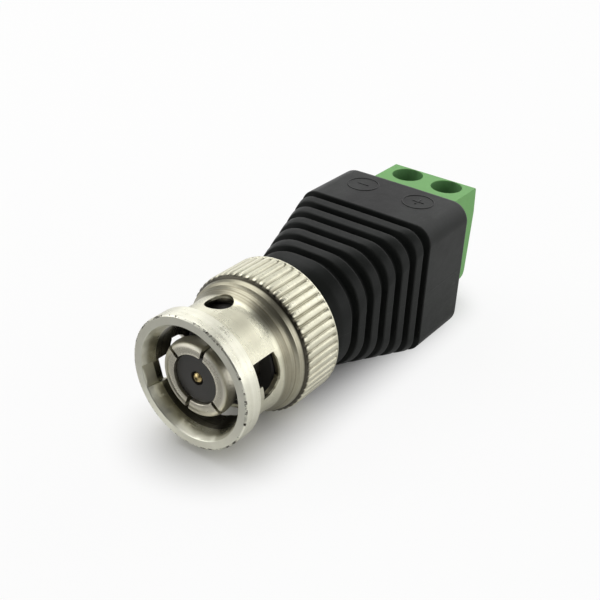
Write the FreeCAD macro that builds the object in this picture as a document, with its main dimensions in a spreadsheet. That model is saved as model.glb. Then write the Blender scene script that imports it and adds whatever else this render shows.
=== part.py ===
"""Bayonet cable plug with a two-pole screw terminal.

Millimetres.  The plug's axis is Y: the mating face is at y = 0 and the wires
enter from +Y.  Z is up, towards the terminal screws, and the positive pole
is on +X.
"""
import FreeCAD, Part
import Sketcher
import math
import os

V = FreeCAD.Vector
doc = FreeCAD.newDocument("bayonet_plug")

# Dimensions
SIZES = [
    # outer contact
    ("crown_start", 0.84, "front face of the outer contact"),
    ("crown_bore", 2.46, "bore of the outer contact"),
    ("crown_rim", 0.99, "width of its front face"),
    ("crown_face", "=crown_bore + crown_rim", "outer radius of that face"),
    ("crown_wall", 1.12, "wall of the outer contact behind the bulge"),
    ("crown_waist", "=crown_bore + crown_wall", "outer radius behind the bulge"),
    ("crown_bulge", 0.28, "height of the bulge"),
    ("crown_radius", "=crown_waist + crown_bulge", "largest radius"),
    ("crown_end", 9.5, "rear end of the outer contact"),
    # coupling sleeve
    ("socket_room", 1.62, "room for the socket's barrel"),
    ("guide_radius", "=crown_waist + socket_room", "bore over the socket's barrel"),
    ("stud_height", 0.4, "depth of the bayonet grooves"),
    ("stud_radius", "=guide_radius + stud_height", "floor of the bayonet grooves"),
    ("mouth_step", 0.08, "bevel of the mouth over the grooves"),
    ("mouth_radius", "=stud_radius + mouth_step", "mouth of the sleeve"),
    ("neck_wall", 0.3, "wall of the neck behind a bayonet groove"),
    ("neck_radius", "=stud_radius + neck_wall", "outer radius of the neck"),
    ("rim_step", 0.73, "height of the rim over the neck"),
    ("rim_radius", "=neck_radius + rim_step", "outer radius of the front rim"),
    ("rim_length", 2.1, "length of the front rim"),
    ("rim_chamfer", 0.12, "front edge of the rim"),
    ("guide_start", 1.45, "end of the lead-in cone"),
    ("cove_start", 5.2, "where the neck starts to flare"),
    ("cove_length", 1.75, "length of the hollow flare"),
    ("cove_end", "=cove_start + cove_length", "edge of the hollow flare"),
    ("cove_step", 0.38, "height of that edge over the neck"),
    ("cove_radius", "=neck_radius + cove_step", "radius at that edge"),
    ("ring_cut_depth", 0.05, "turned ring behind that edge"),
    ("ring_cut_length", 0.7, "width of that ring"),
    ("ledge_start", "=cove_end + ring_cut_length", "front of the narrow ledge"),
    ("ledge_step", 0.36, "height of the ledge over the flare's edge"),
    ("ledge_radius", "=cove_radius + ledge_step", "front radius of the ledge"),
    ("ledge_length", 0.67, "length of the ledge"),
    ("ledge_rise", 0.14, "taper of the ledge"),
    ("grip_start", "=ledge_start + ledge_length", "front of the knurled grip"),
    ("grip_step", 1.25, "height of the grip over the neck"),
    ("grip_radius", "=neck_radius + grip_step", "outer radius of the grip"),
    ("grip_length", 4.83, "length of the knurled grip"),
    ("sleeve_length", "=grip_start + grip_length", "whole length of the sleeve"),
    ("grip_nose", 0.23, "rounded front edge of the grip"),
    ("grip_chamfer", 0.17, "rear edge of the grip"),
    ("grip_rim", 0.25, "plain rim behind the grooves"),
    ("knurl_number", 53, "grooves around the grip"),
    ("knurl_floor", 0.1, "groove width at its floor"),
    ("knurl_depth", 0.22, "groove depth"),
    ("knurl_width", 0.54, "groove width at the shoulders of its walls"),
    ("knurl_shoulder", 0.065, "depth of the shoulders, with softer crests above"),
    ("knurl_mouth", 0.86, "width of the cut, as far outside the crests"),
    ("knurl_overrun", 0.1, "start of the cut in front of the grip"),
    ("chamber_start", 6.6, "front shoulder of the spring chamber"),
    ("chamber_step", 0.35, "height of that shoulder"),
    ("chamber_radius", "=guide_radius + chamber_step", "bore of the chamber"),
    ("detent_angle", 97.5, "direction of the detent hole"),
    ("detent_axial", 5.1, "middle of the detent hole"),
    ("detent_radius", 1.35, "radius of the detent hole"),
    ("lead_angle", 16.5, "direction of the axial lead-in"),
    ("cam_width", 2.2, "width of the bayonet grooves"),
    ("cam_start", 4.75, "middle of the groove where it leaves the lead-in"),
    ("cam_rise", 0.45, "axial rise of the groove"),
    ("cam_sweep", "=180 + lead_angle - detent_angle", "degrees to the other detent"),
    ("window_angle", 10.0, "middle of the window"),
    ("window_half", 1.94, "half width of the window"),
    ("window_end", 5.75, "rear edge of the window"),
    # spring stack
    ("play", 0.05, "running clearance of the sleeve on the collar"),
    ("slide_gap", 0.1, "clearance of sliding pieces"),
    ("seat_gap", 0.02, "clearance of seated pieces"),
    ("collar_radius", "=chamber_radius - slide_gap", "collar of the plug body"),
    ("collar_length", 1.25, "length of the collar"),
    ("collar_step", 1.05, "height of the collar over the barrel"),
    ("barrel_radius", "=collar_radius - collar_step", "barrel behind the collar"),
    ("spring_room", 1.06, "room for the wave washer"),
    ("strip_thick", 0.22, "strip of the wave washer"),
    ("wave_gap", 0.12, "clearance of the wave washer in the chamber"),
    ("washer_thick", 0.38, "thrust washer"),
    ("washer_bore", "=barrel_radius + slide_gap", "bore of the washers"),
    ("clip_thick", 0.6, "retaining ring"),
    ("clip_grip", 0.35, "how far the retaining ring sits in its groove"),
    ("clip_inner", "=barrel_radius + clip_grip", "inner radius of that ring"),
    ("clip_outer", "=chamber_radius + clip_grip", "outer radius of that ring"),
    # contacts
    ("slit_width", 0.38, "saw slits"),
    ("slit_end", 5.2, "depth of the slits"),
    ("slit_one", 142.0, "direction of the first slit"),
    ("slit_two", 73.0, "direction of the second slit"),
    ("disc_start", 1.2, "front face of the insulator"),
    ("disc_gap", 0.02, "clearance of the insulator in the outer contact"),
    ("disc_radius", "=crown_bore - disc_gap", "radius of the insulator"),
    ("insulator_step", 1.0, "insulator behind the outer contact"),
    ("insulator_end", "=crown_end + insulator_step", "rear end of the insulator"),
    ("pin_start", 1.05, "tip of the centre contact"),
    ("pin_radius", 0.55, "radius of the centre contact"),
    ("pin_gap", 0.025, "clearance of the centre contact"),
    ("pin_bore", "=pin_radius + pin_gap", "bore of the front insulator"),
    ("pin_step", 0.525, "height of the shoulder"),
    ("pin_shoulder", "=pin_radius + pin_step", "shoulder of the centre contact"),
    ("shoulder_length", 1.1, "length of the shoulder"),
    ("shoulder_end", "=insulator_end + shoulder_length", "rear of the shoulder"),
    ("cup_wall", 0.3, "wall of the solder cup"),
    ("cup_radius", 0.5, "bore of the solder cup"),
    ("tail_radius", "=cup_radius + cup_wall", "tail of the centre contact"),
    ("tail_length", 3.9, "length of the tail"),
    ("pin_end", "=shoulder_end + tail_length", "rear end of the contact"),
    ("cup_depth", 1.9, "depth of the solder cup"),
    ("washer_land", 1.6, "rear insulator behind the shoulder"),
    ("gasket_length", 0.98, "length of the gasket"),
    ("gasket_gap", 0.1, "clearance of the gasket in the sleeve"),
    ("gasket_radius", "=guide_radius - gasket_gap", "outer radius of the gasket"),
    # plug body
    ("shell_wall", 1.05, "wall of the barrel"),
    ("shell_bore", "=barrel_radius - shell_wall", "rear bore of the plug body"),
    ("boss_start", 11.1, "front of the boss inside the sleeve"),
    ("boss_lip", 0.9, "moulding in front of the anchor"),
    ("anchor_start", "=boss_start + boss_lip", "front of the anchor"),
    ("anchor_step", 0.4, "height of the anchor over the barrel"),
    ("anchor_radius", "=barrel_radius + anchor_step", "held in the moulding"),
    ("anchor_land", 1.6, "front land of the anchor"),
    ("anchor_slope", 0.3, "sides of the anchor's groove"),
    ("anchor_flat", 0.7, "floor of the anchor's groove"),
    ("anchor_depth", 0.35, "depth of the anchor's groove"),
    ("anchor_length", 5.0, "length of the anchor"),
    ("shell_end", "=anchor_start + anchor_length", "rear end of the plug body"),
    # moulded housing
    ("boss_gap", 0.4, "clearance of the boss in the sleeve"),
    ("boss_radius", "=chamber_radius - boss_gap", "outer radius of the boss"),
    ("ring_gap", 2.05, "from the sleeve to the first ring"),
    ("boss_slope", 0.9, "slope of the boss up to the first ring"),
    ("ring_start", "=sleeve_length + ring_gap", "front of the first ring"),
    ("ring_step", 0.75, "height of the first ring over the boss"),
    ("ring_radius", "=boss_radius + ring_step", "half width of the first ring"),
    ("rib_number", 6, "grooves between the sleeve and the block"),
    ("rib_pitch", 1.96, "pitch of the ribs"),
    ("rib_gap", 0.92, "width of a groove"),
    ("rib_depth", 0.8, "depth of a groove"),
    ("ring_extra", 0.54, "extra length of the first ring"),
    ("block_start", "=ring_start + rib_number * rib_pitch + ring_extra",
     "front of the plain block"),
    ("block_length", 8.1, "length of the plain block"),
    ("block_end", "=block_start + block_length", "rear face of the housing"),
    ("pole_pitch", 5.08, "distance of the poles"),
    ("term_side", 0.17, "terminal block beyond the pitch"),
    ("term_half_width", "=pole_pitch + term_side", "half width of the terminal"),
    ("side_wall", 2.85, "side walls of the housing"),
    ("block_half_width", "=term_half_width + side_wall", "half width of the block"),
    ("block_half_height", 7.45, "half height of the block"),
    ("block_corner", 2.0, "rounded long edges"),
    ("block_edge", 0.3, "bevel around the rear face"),
    ("mark_radius", 1.42, "circles of the polarity marks"),
    ("mark_line", 0.2, "line width of the marks"),
    ("mark_height", 0.1, "height of the marks"),
    ("mark_arm", 0.55, "half length of the bars in the marks"),
    ("mark_offset", 3.45, "marks from the middle"),
    ("mark_back", 3.3, "marks from the rear face"),
    ("mark_axial", "=block_end - mark_back", "marks along the axis"),
    # terminal block
    ("top_wall", 1.15, "wall of the housing over the terminal block"),
    ("term_top", "=block_half_height - top_wall", "top of the terminal block"),
    ("term_bottom", 5.0, "its underside, below the axis"),
    ("term_bury", 6.6, "terminal block inside the housing"),
    ("term_front", "=block_end - term_bury", "its front face"),
    ("term_reach", 7.3, "terminal block behind the housing"),
    ("term_rear_mid", "=block_end + term_reach", "its rear face at the step"),
    ("term_rear_top", "=term_rear_mid - 0.25", "its rear face at the top"),
    ("term_rear_low", "=term_rear_mid - 0.4", "its rear face near the bottom"),
    ("term_step", 3.2, "height of the step in the rear face"),
    ("screw_back", 2.3, "screws from the rear face"),
    ("screw_axial", "=term_rear_mid - screw_back", "screws along the plug"),
    ("head_radius", 1.62, "radius of the screw heads"),
    ("head_gap", 0.16, "clearance around the screw heads"),
    ("screw_hole", "=head_radius + head_gap", "radius of the screw holes"),
    ("head_height", 1.3, "height of the screw heads"),
    ("head_depth", 2.35, "screw seats below the top"),
    ("head_seat", "=term_top - head_depth", "underside of the screw heads"),
    ("shank_radius", 1.25, "radius of the screws"),
    ("thread_gap", 0.05, "clearance of the screw in the cage"),
    ("drive_slot", 0.55, "slot in the head"),
    ("drive_depth", 0.65, "depth of that slot"),
    ("bar_top", 0.1, "top of the current bar, below the axis"),
    ("bar_thick", 0.9, "thickness of the current bar"),
    ("bar_half_width", 1.4, "half width of the current bar"),
    ("bar_bury", 3.0, "current bar from the block's front"),
    ("bar_front", "=term_front + bar_bury", "front end of the current bar"),
    ("bar_back", 0.8, "current bar from the rear face"),
    ("bar_rear", "=term_rear_mid - bar_back", "rear end of the current bar"),
    ("solder_pin", 0.8, "width of the solder pin"),
    ("solder_drop", 2.2, "height of the solder pin, below the axis"),
    ("solder_reach", 3.8, "solder pin in front of the terminal block"),
    ("solder_front", "=term_front - solder_reach", "front end of the solder pin"),
    ("cage_half_width", 1.95, "half width of the clamp cage"),
    ("cage_half_depth", 1.65, "half depth of the clamp cage"),
    ("cage_wall", 0.45, "wall of the clamp cage"),
    ("cage_top", 1.3, "top of the cage when open"),
    ("cage_crown", 1.2, "threaded top of the cage"),
    ("cage_floor", 4.0, "floor of the cage when open, below the axis"),
    ("wire_half_width", "=cage_half_width + 0.1", "half width of a wire entry"),
    ("wire_sill", 0.75, "top of a wire entry, below the axis"),
    ("wire_depth", 5.2, "wire entry beyond the screw"),
    ("wire_stop", "=screw_axial - wire_depth", "inner end of a wire entry"),
    ("cage_gap", 0.1, "clearance around the cages"),
    ("pocket_gap", 0.04, "clearance of the terminal block in its pocket"),
    ("key_width", 1.2, "dovetail along the side"),
    ("key_height", 0.35, "height of the dovetail"),
    ("key_margin", 1.2, "dovetail from the top and the bottom"),
    ("key_back", 0.4, "dovetail from the housing"),
    ("key_axial", "=block_end + key_back", "front of the dovetail"),
    # links
    ("link_radius", 0.35, "radius of the link wire"),
    ("strap_thick", 0.4, "thickness of the earth strap"),
    ("strap_foot", 1.1, "foot of the strap on the plug body"),
    ("strap_lap", 2.0, "how far the strap lies along the solder pin"),
    ("strap_room", 0.3, "room around the strap"),
    ("ledge_width", 0.4, "shoulder behind the plug body"),
    ("throat_margin", 0.7, "passage inside the terminal block's outline"),
    ("throat_depth", 7.0, "passage in front of the terminal block"),
    ("cable_bend", 2.2, "bends of the link wire"),
]

sheet = doc.addObject("Spreadsheet::Sheet", "sizes")
for row, (name, value, note) in enumerate(SIZES, start=1):
    sheet.set("A%d" % row, name)
    sheet.set("B%d" % row, str(value))
    sheet.set("C%d" % row, note)
    sheet.setAlias("B%d" % row, name)
doc.recompute()


class Q:
    """A size that carries its number and its spreadsheet expression."""

    def __init__(self, value, text=None):
        self.value = float(value)
        self.text = repr(float(value)) if text is None else text

    def _two(self, other, sign, value, flip=False):
        other = other if isinstance(other, Q) else Q(other)
        first, second = (other, self) if flip else (self, other)
        return Q(value(first.value, second.value),
                 "(%s %s %s)" % (first.text, sign, second.text))

    def __add__(self, o): return self._two(o, "+", lambda a, b: a + b)
    def __radd__(self, o): return self._two(o, "+", lambda a, b: a + b, True)
    def __sub__(self, o): return self._two(o, "-", lambda a, b: a - b)
    def __rsub__(self, o): return self._two(o, "-", lambda a, b: a - b, True)
    def __mul__(self, o): return self._two(o, "*", lambda a, b: a * b)
    def __rmul__(self, o): return self._two(o, "*", lambda a, b: a * b, True)
    def __truediv__(self, o): return self._two(o, "/", lambda a, b: a / b)
    def __neg__(self): return 0 - self


class Sizes:
    """Every row of the sheet, with the number that the sheet worked out."""

    def __init__(self, rows):
        for name, _, _ in rows:
            setattr(self, name, Q(sheet.get(name), "sizes." + name))


D = Sizes(SIZES)


def number(q):
    return q.value if isinstance(q, Q) else float(q)


def bind(obj, prop, q):
    if isinstance(q, Q):
        obj.setExpression(prop, q.text)


# Helpers
def polygon(sketch, points):
    """A closed polygon whose corners are all driven by the sizes."""
    count = len(points)
    flat = [V(number(a), number(b), 0) for a, b in points]
    for i in range(count):
        sketch.addGeometry(Part.LineSegment(flat[i], flat[(i + 1) % count]), False)
    base = sketch.GeometryCount - count
    for i in range(count):
        sketch.addConstraint(Sketcher.Constraint(
            "Coincident", base + i, 2, base + (i + 1) % count, 1))
    for i in range(count):
        for axis, which in (("X", 0), ("Y", 1)):
            q = points[i][which]
            index = sketch.addConstraint(Sketcher.Constraint(
                "Distance" + axis, -1, 1, base + i, 1, number(q)))
            label = "c%d%s" % (base + i, axis.lower())
            sketch.renameConstraint(index, label)
            bind(sketch, "Constraints." + label, q)


def plane_of(body, role):
    return [f for f in body.Origin.OriginFeatures if f.Role == role][0]


def body_sketch(body, name, role, offset=None):
    sketch = body.newObject("Sketcher::SketchObject", name)
    sketch.AttachmentSupport = [(plane_of(body, role), "")]
    sketch.MapMode = "FlatFace"
    if offset is not None:
        sketch.AttachmentOffset = FreeCAD.Placement(
            V(0, 0, number(offset)), FreeCAD.Rotation())
        bind(sketch, "AttachmentOffset.Base.z", offset)
    return sketch


def turned(name, points):
    """A turned body: corners are (radius, position along the axis)."""
    body = doc.addObject("PartDesign::Body", name)
    sketch = body_sketch(body, name + "_profile", "XY_Plane")
    polygon(sketch, points)
    doc.recompute()
    turn = body.newObject("PartDesign::Revolution", name + "_turned")
    turn.Profile = sketch
    turn.ReferenceAxis = (sketch, ["V_Axis"])
    turn.Angle = 360
    sketch.Visibility = False
    body.Tip = turn
    doc.recompute()
    return body


def box(name, x, y, z, rotation=None):
    """A box from (low, high) pairs, turned about the plug's axis if asked."""
    item = doc.addObject("Part::Box", name)
    for prop, (low, high) in (("Length", x), ("Width", y), ("Height", z)):
        setattr(item, prop, number(high) - number(low))
        bind(item, prop, Q(0) + high - low)
    low = V(number(x[0]), number(y[0]), number(z[0]))
    if rotation is None:
        item.Placement = FreeCAD.Placement(low, FreeCAD.Rotation())
        for axis, pair in (("x", x), ("y", y), ("z", z)):
            bind(item, "Placement.Base." + axis, Q(0) + pair[0])
    else:
        text = rotation.text
        turn = "create(<<rotation>>; create(<<vector>>; 0; 1; 0); 0 - %s)" % text
        item.Placement = FreeCAD.Placement(
            V(0, 0, 0), FreeCAD.Rotation(V(0, 1, 0), -number(rotation))).multiply(
                FreeCAD.Placement(low, FreeCAD.Rotation()))
        item.setExpression(
            "Placement",
            "create(<<placement>>; create(<<vector>>; 0; 0; 0); %s) * "
            "create(<<placement>>; create(<<vector>>; %s; %s; %s); "
            "create(<<rotation>>; create(<<vector>>; 0; 1; 0); 0))" % (
                turn, (Q(0) + x[0]).text, (Q(0) + y[0]).text, (Q(0) + z[0]).text))
    return item


def rod(name, radius, length, base, axis="z"):
    """A cylinder along x, y or z from its base point."""
    item = doc.addObject("Part::Cylinder", name)
    item.Radius = number(radius)
    item.Height = number(length)
    bind(item, "Radius", radius)
    bind(item, "Height", length)
    turn = {"z": FreeCAD.Rotation(),
            "y": FreeCAD.Rotation(V(1, 0, 0), -90),
            "x": FreeCAD.Rotation(V(0, 1, 0), 90)}[axis]
    item.Placement = FreeCAD.Placement(V(*[number(b) for b in base]), turn)
    for letter, q in zip("xyz", base):
        bind(item, "Placement.Base." + letter, q)
    return item


def fuse(name, items):
    item = doc.addObject("Part::MultiFuse", name)
    item.Shapes = items
    return item


def cut(name, base, tools):
    item = doc.addObject("Part::Cut", name)
    item.Base = base
    item.Tool = tools[0] if len(tools) == 1 else fuse(name + "_tools", tools)
    return item


def free_sketch(name, placement):
    sketch = doc.addObject("Sketcher::SketchObject", name)
    sketch.Placement = placement
    return sketch


def extrusion(name, sketch, direction, length, symmetric=False):
    item = doc.addObject("Part::Extrusion", name)
    item.Base = sketch
    item.DirMode = "Custom"
    item.Dir = direction
    item.LengthFwd = number(length)
    item.Symmetric = symmetric
    item.Solid = True
    bind(item, "LengthFwd", length)
    return item


# sketch plane across the axis: sketch x is X, sketch y is Z, normal is -Y
ACROSS = FreeCAD.Rotation(V(1, 0, 0), 90)
# side plane: sketch x is Y, sketch y is Z, normal is +X
SIDE = FreeCAD.Rotation(V(1, 1, 1), 120)


def rounded_section(name, half_w, half_h, corner, axial):
    """A rounded rectangle across the axis."""
    sketch = free_sketch(name, FreeCAD.Placement(V(0, number(axial), 0), ACROSS))
    bind(sketch, "Placement.Base.y", axial)
    w, hh, c = number(half_w), number(half_h), number(corner)
    lines = [((w, -(hh - c)), (w, hh - c)), ((w - c, hh), (-(w - c), hh)),
             ((-w, hh - c), (-w, -(hh - c))), ((-(w - c), -hh), (w - c, -hh))]
    centres = [(w - c, hh - c), (-(w - c), hh - c), (-(w - c), -(hh - c)), (w - c, -(hh - c))]
    for i in range(4):
        a, b = lines[i]
        sketch.addGeometry(Part.LineSegment(V(a[0], a[1], 0), V(b[0], b[1], 0)), False)
        sketch.addGeometry(Part.ArcOfCircle(
            Part.Circle(V(centres[i][0], centres[i][1], 0), V(0, 0, 1), c),
            i * math.pi / 2, (i + 1) * math.pi / 2), False)
    for i in range(4):
        line, arc, following = 2 * i, 2 * i + 1, (2 * i + 2) % 8
        sketch.addConstraint(Sketcher.Constraint("Tangent", line, 2, arc, 1))
        sketch.addConstraint(Sketcher.Constraint("Tangent", arc, 2, following, 1))
    sketch.addConstraint(Sketcher.Constraint("Vertical", 0))
    sketch.addConstraint(Sketcher.Constraint("Horizontal", 2))
    for i in (3, 5):
        sketch.addConstraint(Sketcher.Constraint("Equal", 1, i))
    for label, kind, args, q in (
            ("corner", "Radius", (1,), corner),
            ("right", "DistanceX", (-1, 1, 0, 1), half_w),
            ("left", "DistanceX", (4, 1, -1, 1), half_w),
            ("top", "DistanceY", (-1, 1, 2, 1), half_h),
            ("bottom", "DistanceY", (6, 1, -1, 1), half_h)):
        index = sketch.addConstraint(Sketcher.Constraint(kind, *args, number(q)))
        sketch.renameConstraint(index, label)
        bind(sketch, "Constraints." + label, q)
    return sketch


def loft(name, sections):
    item = doc.addObject("Part::Loft", name)
    item.Sections = sections
    item.Solid = True
    item.Ruled = True
    return item


PIECES = []


def piece(label, item):
    item.Label = label
    PIECES.append(item)
    return item


# Coupling sleeve
clip_slot_front = (D.chamber_start + D.play + D.collar_length + D.spring_room
                   + D.washer_thick + D.seat_gap)
clip_slot_rear = clip_slot_front + D.clip_thick + 2 * D.seat_gap
sleeve = turned("sleeve_body", [
    (D.mouth_radius + 0.06, Q(0)),
    (D.rim_radius - D.rim_chamfer, Q(0)),
    (D.rim_radius, D.rim_chamfer),
    (D.rim_radius, D.rim_length - 0.12),
    (D.rim_radius - 0.12, D.rim_length),
    (D.neck_radius, D.rim_length),
    (D.neck_radius, D.cove_start),
    (D.neck_radius + 0.02, D.cove_start + 0.5),
    (D.neck_radius + 0.07, D.cove_start + 0.95),
    (D.neck_radius + 0.17, D.cove_start + 1.3),
    (D.cove_radius - 0.08, D.cove_end - 0.15),
    (D.cove_radius, D.cove_end),
    (D.cove_radius - D.ring_cut_depth, D.cove_end + 0.05),
    (D.cove_radius + 0.03, D.cove_end + 0.3),
    (D.cove_radius + 0.14, D.ledge_start - 0.15),
    (D.ledge_radius - 0.05, D.ledge_start - 0.02),
    (D.ledge_radius, D.ledge_start + 0.03),
    (D.ledge_radius + D.ledge_rise, D.grip_start - 0.08),
    (D.grip_radius - D.grip_nose, D.grip_start),
    (D.grip_radius - D.grip_nose * 0.5, D.grip_start + 0.18),
    (D.grip_radius - D.grip_nose * 0.13, D.grip_start + 0.48),
    (D.grip_radius, D.grip_start + 0.78),
    (D.grip_radius, D.sleeve_length - D.grip_chamfer),
    (D.grip_radius - D.grip_chamfer, D.sleeve_length),
    (D.chamber_radius + 0.2, D.sleeve_length),
    (D.chamber_radius, D.sleeve_length - 0.2),
    (D.chamber_radius, clip_slot_rear),
    (D.clip_outer + D.play, clip_slot_rear),
    (D.clip_outer + D.play, clip_slot_front),
    (D.chamber_radius, clip_slot_front),
    (D.chamber_radius, D.chamber_start),
    (D.guide_radius, D.chamber_start),
    (D.guide_radius, D.guide_start),
    (D.mouth_radius, Q(0.06)),
])

# straight knurling: one groove, repeated around the axis
groove = body_sketch(sleeve, "knurl_groove", "XZ_Plane", -(D.grip_start - D.knurl_overrun))
polygon(groove, [
    (-D.knurl_floor / 2, D.grip_radius - D.knurl_depth),
    (D.knurl_floor / 2, D.grip_radius - D.knurl_depth),
    (D.knurl_width / 2, D.grip_radius - D.knurl_shoulder),
    (D.knurl_mouth / 2, D.grip_radius + D.knurl_shoulder),
    (-D.knurl_mouth / 2, D.grip_radius + D.knurl_shoulder),
    (-D.knurl_width / 2, D.grip_radius - D.knurl_shoulder),
])
groove_length = D.grip_length - D.grip_rim + D.knurl_overrun
doc.recompute()
before = sleeve.Shape.Volume
flute = sleeve.newObject("PartDesign::Pocket", "knurl_cut")
flute.Profile = groove
flute.Length = number(groove_length)
bind(flute, "Length", groove_length)
doc.recompute()
if flute.Shape.Volume > before - 1e-3:
    flute.Reversed = True
    doc.recompute()
assert flute.Shape.Volume < before - 0.1
knurls = sleeve.newObject("PartDesign::PolarPattern", "knurl_ring")
knurls.Originals = [flute]
knurls.Axis = (plane_of(sleeve, "Y_Axis"), [""])
knurls.Angle = 360
knurls.Occurrences = int(D.knurl_number.value)
knurls.setExpression("Occurrences", D.knurl_number.text)
sleeve.Tip = knurls
doc.recompute()

# bayonet grooves: a ramp inside the wall, twice around the axis
ramp_sketch = body_sketch(sleeve, "ramp_section", "XY_Plane")
ramp_sketch.AttachmentOffset = FreeCAD.Placement(
    V(0, 0, 0), FreeCAD.Rotation(V(0, 1, 0), -number(D.lead_angle)))
ramp_sketch.setExpression(
    "AttachmentOffset",
    "create(<<placement>>; create(<<vector>>; 0; 0; 0); "
    "create(<<rotation>>; create(<<vector>>; 0; 1; 0); 0 - %s))" % D.lead_angle.text)
polygon(ramp_sketch, [
    (D.guide_radius - 0.5, D.cam_start - D.cam_width / 2),
    (D.stud_radius, D.cam_start - D.cam_width / 2),
    (D.stud_radius, D.cam_start + D.cam_width / 2),
    (D.guide_radius - 0.5, D.cam_start + D.cam_width / 2),
])
doc.recompute()
before = sleeve.Shape.Volume
ramp = sleeve.newObject("PartDesign::SubtractiveHelix", "ramp_cut")
ramp.Profile = ramp_sketch
ramp.ReferenceAxis = (ramp_sketch, ["V_Axis"])
ramp.Mode = "height-turns-angle"
ramp.Height = number(D.cam_rise)
ramp.Turns = number(D.cam_sweep / 360)
ramp.Angle = 0
ramp.LeftHanded = True
bind(ramp, "Height", D.cam_rise)
bind(ramp, "Turns", D.cam_sweep / 360)
doc.recompute()
assert ramp.Shape.Volume < before - 0.5
ramps = sleeve.newObject("PartDesign::PolarPattern", "ramp_pair")
ramps.Originals = [ramp]
ramps.Axis = (plane_of(sleeve, "Y_Axis"), [""])
ramps.Angle = 360
ramps.Occurrences = 2
sleeve.Tip = ramps
doc.recompute()

openings = []
for index, extra in enumerate((0, 180)):
    # axial lead-in from the mouth
    openings.append(box("lead_in_%d" % index,
                        (D.guide_radius - 0.6, D.stud_radius),
                        (Q(-0.5), D.cam_start + D.cam_width / 2),
                        (-D.cam_width / 2, D.cam_width / 2),
                        rotation=D.lead_angle + extra))
    # rounded window through the neck
    turn = FreeCAD.Rotation(V(0, 1, 0), -(number(D.window_angle) + extra))
    window = free_sketch("window_%d" % index,
                         FreeCAD.Placement(V(0, 0, 0), turn.multiply(SIDE)))
    window.setExpression(
        "Placement.Rotation",
        "create(<<rotation>>; create(<<vector>>; 0; 1; 0); 0 - (%s)) * "
        "create(<<rotation>>; create(<<vector>>; 1; 1; 1); 120)"
        % (D.window_angle + extra).text)
    polygon(window, [
        (D.rim_length + 0.05, D.window_half),
        (D.window_end - 0.25, D.window_half),
        (D.window_end - 0.05, D.window_half * 0.62),
        (D.window_end, 0 * D.window_half),
        (D.window_end - 0.15, -D.window_half * 0.45),
        (D.window_end - 0.7, -D.window_half * 0.78),
        (D.window_end - 1.45, -D.window_half * 0.97),
        (D.window_end - 2.3, -D.window_half),
        (D.rim_length + 1.4, -D.window_half * 0.9),
        (D.rim_length + 1.1, -D.window_half * 0.2),
        (D.rim_length + 0.05, -D.window_half * 0.16),
    ])
    direction = turn.multVec(V(1, 0, 0))
    through = extrusion("window_cut_%d" % index, window, direction,
                        D.neck_radius + 1.5)
    core = rod("window_core_%d" % index, D.guide_radius - 0.4, D.sleeve_length,
               (Q(0), Q(0), Q(0)), "y")
    openings.append(cut("window_tool_%d" % index, through, [core]))
    # detent hole
    hole_angle = D.detent_angle + extra
    hole = doc.addObject("Part::Cylinder", "detent_%d" % index)
    hole.Radius = number(D.detent_radius)
    hole.Height = number(D.neck_radius + 1.0 - D.guide_radius + 0.6)
    bind(hole, "Radius", D.detent_radius)
    bind(hole, "Height", D.neck_radius + 1.0 - D.guide_radius + 0.6)
    hole.setExpression(
        "Placement",
        "create(<<placement>>; create(<<vector>>; 0; 0; 0); "
        "create(<<rotation>>; create(<<vector>>; 0; 1; 0); 90 - %s)) * "
        "create(<<placement>>; create(<<vector>>; 0; %s; %s); "
        "create(<<rotation>>; create(<<vector>>; 0; 1; 0); 0))"
        % (hole_angle.text, D.detent_axial.text, (D.guide_radius - 0.6).text))
    openings.append(hole)
doc.recompute()
piece("coupling_sleeve", cut("sleeve_finished", sleeve, openings))

# Spring stack
collar_front = D.chamber_start + D.play
collar_rear = collar_front + D.collar_length
washer_front = collar_rear + D.spring_room
clip_front = washer_front + D.washer_thick + 2 * D.seat_gap

piece("thrust_washer", turned("thrust_washer_body", [
    (D.washer_bore, washer_front),
    (D.chamber_radius - 0.1, washer_front),
    (D.chamber_radius - 0.1, washer_front + D.washer_thick),
    (D.washer_bore, washer_front + D.washer_thick),
]))

clip = turned("clip_body", [
    (D.clip_inner, clip_front),
    (D.clip_outer, clip_front),
    (D.clip_outer, clip_front + D.clip_thick),
    (D.clip_inner, clip_front + D.clip_thick),
])
piece("retaining_ring", cut("clip_finished", clip, [
    box("clip_gap", (Q(-1.3), Q(1.3)), (clip_front - 1, clip_front + 2),
        (D.clip_inner * -1.4, Q(-2.0)))]))


def wave_washer():
    """A closed strip with three waves between the collar and the washer."""
    inner = number(D.washer_bore)
    outer = number(D.chamber_radius) - number(D.wave_gap)
    thick = number(D.strip_thick)
    low = number(collar_rear) + thick / 2 + number(D.seat_gap)
    high = number(washer_front) - thick / 2 - number(D.seat_gap)
    centre, swing = (low + high) / 2, (high - low) / 2
    rails = []
    for radius, lift in ((inner, -thick / 2), (outer, -thick / 2),
                         (outer, thick / 2), (inner, thick / 2)):
        points = []
        for k in range(36):
            a = 2 * math.pi * k / 36
            points.append(V(radius * math.cos(a),
                            centre + swing * math.cos(3 * a) + lift,
                            radius * math.sin(a)))
        curve = Part.BSplineCurve()
        curve.interpolate(points, PeriodicFlag=True)
        rails.append(Part.Wire([curve.toShape()]))
    faces = []
    for i in range(4):
        faces += Part.makeLoft([rails[i], rails[(i + 1) % 4]], False, True).Faces
    shell = Part.Shell(faces)
    solid = Part.Solid(shell)
    if solid.Volume < 0:
        solid.reverse()
    return solid


wave = doc.addObject("Part::Feature", "wave_washer_body")
wave.Shape = wave_washer()
piece("wave_washer", wave)

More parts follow.
